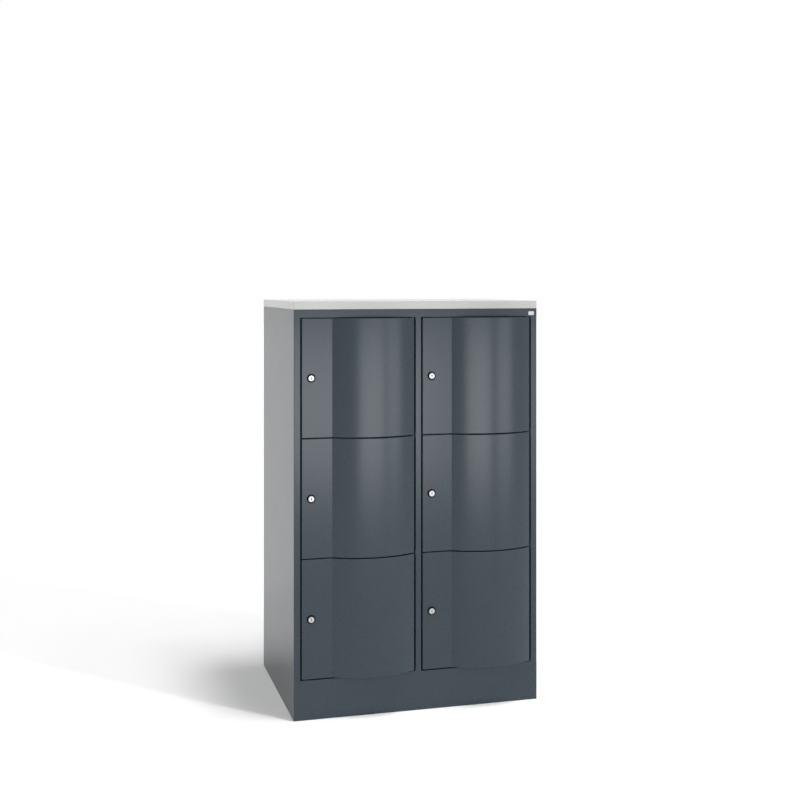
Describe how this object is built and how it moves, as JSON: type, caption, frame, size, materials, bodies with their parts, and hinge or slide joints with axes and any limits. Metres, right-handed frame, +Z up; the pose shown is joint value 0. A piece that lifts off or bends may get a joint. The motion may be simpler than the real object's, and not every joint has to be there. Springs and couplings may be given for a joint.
{
  "type": "parcel locker",
  "caption": "Sheet-steel compartment locker with two columns of bulged hinged doors, cam locks, plinth and top board.",
  "frame": {"origin": "on the floor, under the middle of the whole locker, door bulges included", "axes": "+Z up, +X to the right seen from the front, +Y from the doors towards the back; the doors face -Y"},
  "size_m": [0.832, 0.64, 1.345],
  "materials": {
    "body_paint": "satin anthracite powder coat",
    "board_laminate": "light grey laminate",
    "lock_chrome": "polished",
    "zinc_steel": "zinc plated",
    "black_steel": "black primer coat",
    "bush_nylon": "moulded",
    "buffer_rubber": "matte",
    "badge_plate": "satin, blank",
    "foot_plastic": "moulded"
  },
  "bodies": {
    "carcass": {"side_panel_left": "body_paint", "side_panel_right": "body_paint", "back_panel": "body_paint", "roof_panel": "body_paint", "floor_panel": "body_paint", "centre_partition": "body_paint", "centre_post": "body_paint", "plinth_front": "body_paint", "plinth_rear": "body_paint", "shelf_left_lower": "body_paint", "shelf_left_upper": "body_paint", "shelf_right_lower": "body_paint", "shelf_right_upper": "body_paint", "top_board": "board_laminate", "board_screws": "zinc_steel", "badge": "badge_plate", "door_buffers": "buffer_rubber", "hinge_brackets": "black_steel", "hinge_pins": "zinc_steel", "foot_brackets": "zinc_steel"},
    "door_left_bottom": {"door_skin_left_bottom": "body_paint", "door_liner_left_bottom": "body_paint", "hinge_bushes_left_bottom": "bush_nylon", "lock_case_left_bottom": "lock_chrome"},
    "lock_left_bottom": {"lock_plug_left_bottom": "lock_chrome", "lock_cam_left_bottom": "zinc_steel"},
    "door_left_middle": {"door_skin_left_middle": "body_paint", "door_liner_left_middle": "body_paint", "hinge_bushes_left_middle": "bush_nylon", "lock_case_left_middle": "lock_chrome"},
    "lock_left_middle": {"lock_plug_left_middle": "lock_chrome", "lock_cam_left_middle": "zinc_steel"},
    "door_left_top": {"door_skin_left_top": "body_paint", "door_liner_left_top": "body_paint", "hinge_bushes_left_top": "bush_nylon", "lock_case_left_top": "lock_chrome"},
    "lock_left_top": {"lock_plug_left_top": "lock_chrome", "lock_cam_left_top": "zinc_steel"},
    "door_right_bottom": {"door_skin_right_bottom": "body_paint", "door_liner_right_bottom": "body_paint", "hinge_bushes_right_bottom": "bush_nylon", "lock_case_right_bottom": "lock_chrome"},
    "lock_right_bottom": {"lock_plug_right_bottom": "lock_chrome", "lock_cam_right_bottom": "zinc_steel"},
    "door_right_middle": {"door_skin_right_middle": "body_paint", "door_liner_right_middle": "body_paint", "hinge_bushes_right_middle": "bush_nylon", "lock_case_right_middle": "lock_chrome"},
    "lock_right_middle": {"lock_plug_right_middle": "lock_chrome", "lock_cam_right_middle": "zinc_steel"},
    "door_right_top": {"door_skin_right_top": "body_paint", "door_liner_right_top": "body_paint", "hinge_bushes_right_top": "bush_nylon", "lock_case_right_top": "lock_chrome"},
    "lock_right_top": {"lock_plug_right_top": "lock_chrome", "lock_cam_right_top": "zinc_steel"},
    "foot_front_left": {"levelling_foot_front_left": "foot_plastic"},
    "foot_front_right": {"levelling_foot_front_right": "foot_plastic"},
    "foot_rear_left": {"levelling_foot_rear_left": "foot_plastic"},
    "foot_rear_right": {"levelling_foot_rear_right": "foot_plastic"}
  },
  "joints": [
    {"name": "door_left_bottom_hinge", "type": "hinge", "parent": "carcass", "child": "door_left_bottom", "pos_m": [-0.0215, -0.278, 0.32283], "axis": [0, 0, 1], "range_deg": [0, 90]},
    {"name": "lock_left_bottom_turn", "type": "hinge", "parent": "door_left_bottom", "child": "lock_left_bottom", "pos_m": [-0.3595, -0.282, 0.32283], "axis": [0, -1, 0], "range_deg": [0, 90]},
    {"name": "door_left_middle_hinge", "type": "hinge", "parent": "carcass", "child": "door_left_middle", "pos_m": [-0.0215, -0.278, 0.7105], "axis": [0, 0, 1], "range_deg": [0, 90]},
    {"name": "lock_left_middle_turn", "type": "hinge", "parent": "door_left_middle", "child": "lock_left_middle", "pos_m": [-0.3595, -0.282, 0.7105], "axis": [0, -1, 0], "range_deg": [0, 90]},
    {"name": "door_left_top_hinge", "type": "hinge", "parent": "carcass", "child": "door_left_top", "pos_m": [-0.0215, -0.278, 1.09817], "axis": [0, 0, 1], "range_deg": [0, 90]},
    {"name": "lock_left_top_turn", "type": "hinge", "parent": "door_left_top", "child": "lock_left_top", "pos_m": [-0.3595, -0.282, 1.09817], "axis": [0, -1, 0], "range_deg": [0, 90]},
    {"name": "door_right_bottom_hinge", "type": "hinge", "parent": "carcass", "child": "door_right_bottom", "pos_m": [0.383, -0.278, 0.32283], "axis": [0, 0, 1], "range_deg": [0, 90]},
    {"name": "lock_right_bottom_turn", "type": "hinge", "parent": "door_right_bottom", "child": "lock_right_bottom", "pos_m": [0.045, -0.282, 0.32283], "axis": [0, -1, 0], "range_deg": [0, 90]},
    {"name": "door_right_middle_hinge", "type": "hinge", "parent": "carcass", "child": "door_right_middle", "pos_m": [0.383, -0.278, 0.7105], "axis": [0, 0, 1], "range_deg": [0, 90]},
    {"name": "lock_right_middle_turn", "type": "hinge", "parent": "door_right_middle", "child": "lock_right_middle", "pos_m": [0.045, -0.282, 0.7105], "axis": [0, -1, 0], "range_deg": [0, 90]},
    {"name": "door_right_top_hinge", "type": "hinge", "parent": "carcass", "child": "door_right_top", "pos_m": [0.383, -0.278, 1.09817], "axis": [0, 0, 1], "range_deg": [0, 90]},
    {"name": "lock_right_top_turn", "type": "hinge", "parent": "door_right_top", "child": "lock_right_top", "pos_m": [0.045, -0.282, 1.09817], "axis": [0, -1, 0], "range_deg": [0, 90]},
    {"name": "foot_front_left_screw", "type": "slide", "parent": "carcass", "child": "foot_front_left", "axis": [0, 0, -1], "range_m": [0, 0.02]},
    {"name": "foot_front_right_screw", "type": "slide", "parent": "carcass", "child": "foot_front_right", "axis": [0, 0, -1], "range_m": [0, 0.02]},
    {"name": "foot_rear_left_screw", "type": "slide", "parent": "carcass", "child": "foot_rear_left", "axis": [0, 0, -1], "range_m": [0, 0.02]},
    {"name": "foot_rear_right_screw", "type": "slide", "parent": "carcass", "child": "foot_rear_right", "axis": [0, 0, -1], "range_m": [0, 0.02]}
  ]
}
